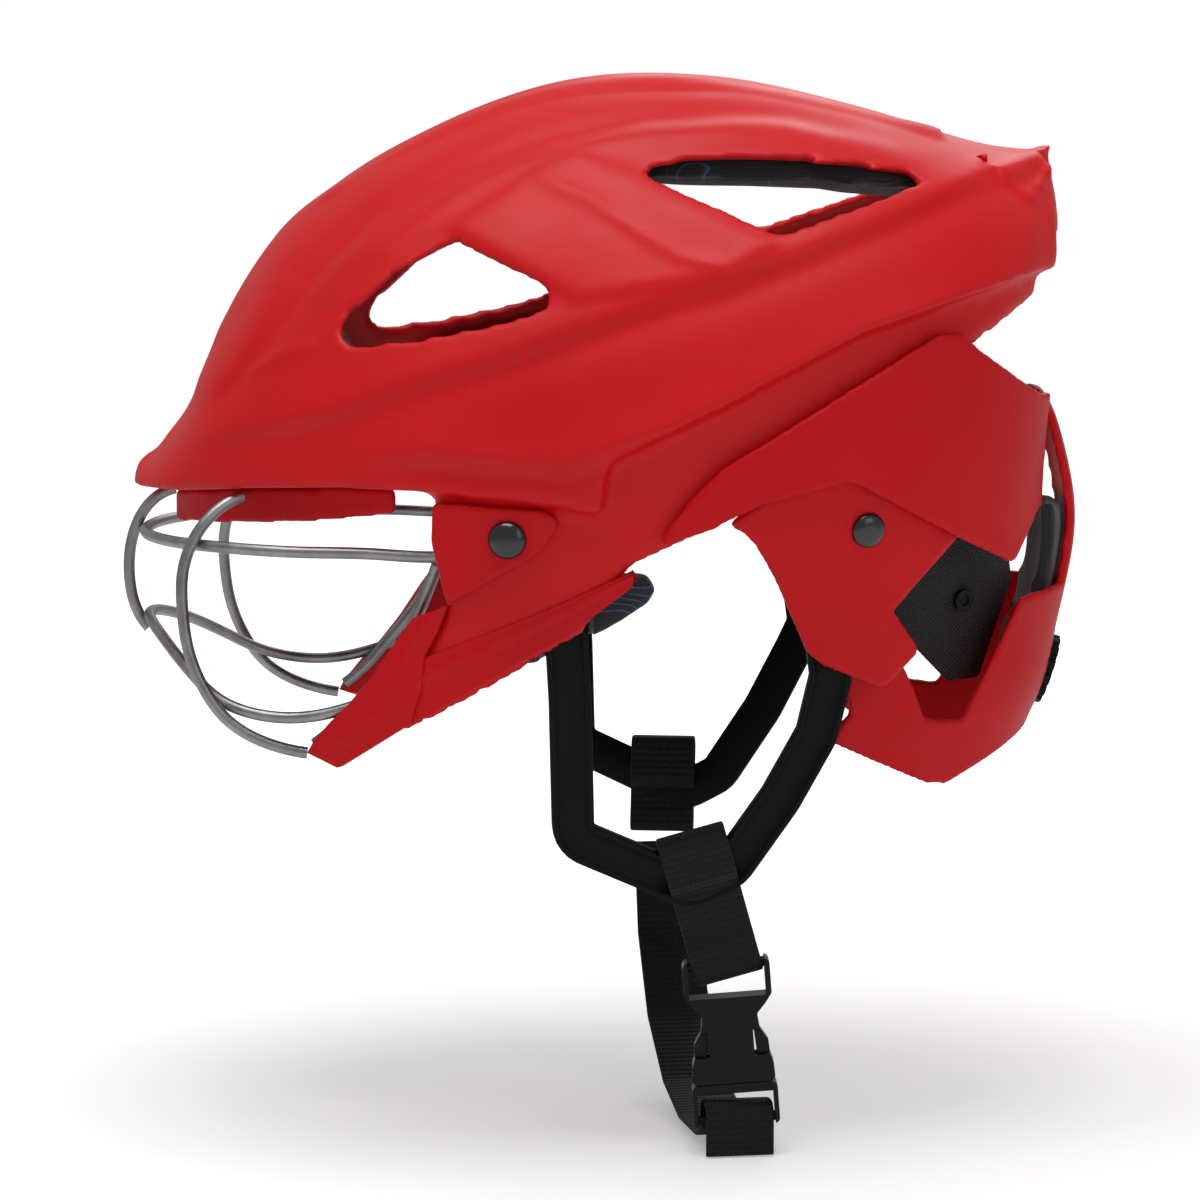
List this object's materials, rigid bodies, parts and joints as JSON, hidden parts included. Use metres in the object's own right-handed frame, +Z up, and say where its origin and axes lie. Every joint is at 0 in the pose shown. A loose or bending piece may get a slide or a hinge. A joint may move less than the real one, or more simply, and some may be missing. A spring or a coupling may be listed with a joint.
{
  "type": "lacrosse helmet",
  "caption": "Hard shell field helmet with a wire face cage, vents, a sliding rear cradle with a fit dial, liner pads and a buckled chin strap.",
  "frame": {"origin": "on the middle plane, level with the ear canals, between them", "axes": "+X towards the back of the head, -Y towards the wearer's left, +Z up"},
  "size_m": [0.2704, 0.1952, 0.2987],
  "materials": {
    "shell_red": "satin moulded",
    "lobe_red": "gloss moulded",
    "guard_red": "gloss moulded",
    "jaw_red": "satin moulded",
    "black_plastic": "matte moulded",
    "cage_wire": "satin coated",
    "fastener": "black coated",
    "liner_fabric": "woven cover over foam",
    "yoke_rubber": "satin",
    "webbing": "woven"
  },
  "bodies": {
    "helmet": {"crown_shell": "shell_red", "rear_shell_left": "lobe_red", "rear_shell_right": "lobe_red", "brow_rail": "lobe_red", "ear_guard_left": "guard_red", "ear_guard_right": "guard_red", "cage_bracket_left": "guard_red", "cage_bracket_right": "guard_red", "carrier_left": "black_plastic", "carrier_right": "black_plastic", "carrier_pins": "black_plastic", "carrier_posts": "black_plastic", "buckle_female": "black_plastic", "jaw_guard_left": "jaw_red", "jaw_guard_right": "jaw_red", "cage_top_bar": "cage_wire", "cage_lower_bar": "cage_wire", "cage_centre_wire": "cage_wire", "cage_side_wire_left": "cage_wire", "cage_side_wire_right": "cage_wire", "cage_frame_wire_left": "cage_wire", "cage_frame_wire_right": "cage_wire", "cage_eyes": "cage_wire", "cage_screws": "fastener", "cage_nuts": "fastener", "ear_rivets": "fastener", "yoke_studs": "fastener", "crown_liner": "liner_fabric", "side_liner_left": "liner_fabric", "side_liner_right": "liner_fabric", "brow_pad": "liner_fabric", "cheek_pad_left": "liner_fabric", "cheek_pad_right": "liner_fabric", "yoke_left": "yoke_rubber", "yoke_right": "yoke_rubber", "webbing_left": "webbing", "webbing_right": "webbing"},
    "cradle": {"rear_cradle": "lobe_red", "nape_pad": "liner_fabric", "dial_housing": "black_plastic"},
    "dial": {"fit_dial": "black_plastic", "dial_pinion": "black_plastic"},
    "rack_l": {"rack_left": "black_plastic"},
    "rack_r": {"rack_right": "black_plastic"},
    "tongue": {"buckle_male": "black_plastic"},
    "prong_f": {"buckle_prong_front": "black_plastic"},
    "prong_r": {"buckle_prong_rear": "black_plastic"}
  },
  "joints": [
    {"name": "cradle_slide", "type": "slide", "parent": "helmet", "child": "cradle", "axis": [1, 0, 0], "range_m": [-0.006, 0]},
    {"name": "dial_spin", "type": "hinge", "parent": "cradle", "child": "dial", "pos_m": [0.12244, 0, -0.01803], "axis": [0.9521, 0, -0.3057], "range_deg": [0, 64]},
    {"name": "rack_left_slide", "type": "slide", "parent": "cradle", "child": "rack_l", "axis": [0, -1, 0], "range_m": [-0.006, 0]},
    {"name": "rack_right_slide", "type": "slide", "parent": "cradle", "child": "rack_r", "axis": [0, 1, 0], "range_m": [-0.006, 0]},
    {"name": "buckle_release", "type": "slide", "parent": "helmet", "child": "tongue", "axis": [0.0767, 0, -0.9971], "range_m": [0, 0.03], "deforming": ["buckle_prong_front", "buckle_prong_rear", "webbing_right"]},
    {"name": "prong_front_squeeze", "type": "hinge", "parent": "tongue", "child": "prong_f", "pos_m": [0.02905, -0.05347, -0.12749], "axis": [0, 1, 0], "range_deg": [0, 6], "stiffness_Nm_per_rad": 0.05},
    {"name": "prong_rear_squeeze", "type": "hinge", "parent": "tongue", "child": "prong_r", "pos_m": [0.0448, -0.05347, -0.12628], "axis": [0, -1, 0], "range_deg": [0, 6], "stiffness_Nm_per_rad": 0.05}
  ],
  "couplings": [
    {"joint": "dial_spin", "follows": "cradle_slide", "rad_per_m": -185.19},
    {"joint": "rack_left_slide", "follows": "cradle_slide", "ratio": 1},
    {"joint": "rack_right_slide", "follows": "cradle_slide", "ratio": 1}
  ]
}
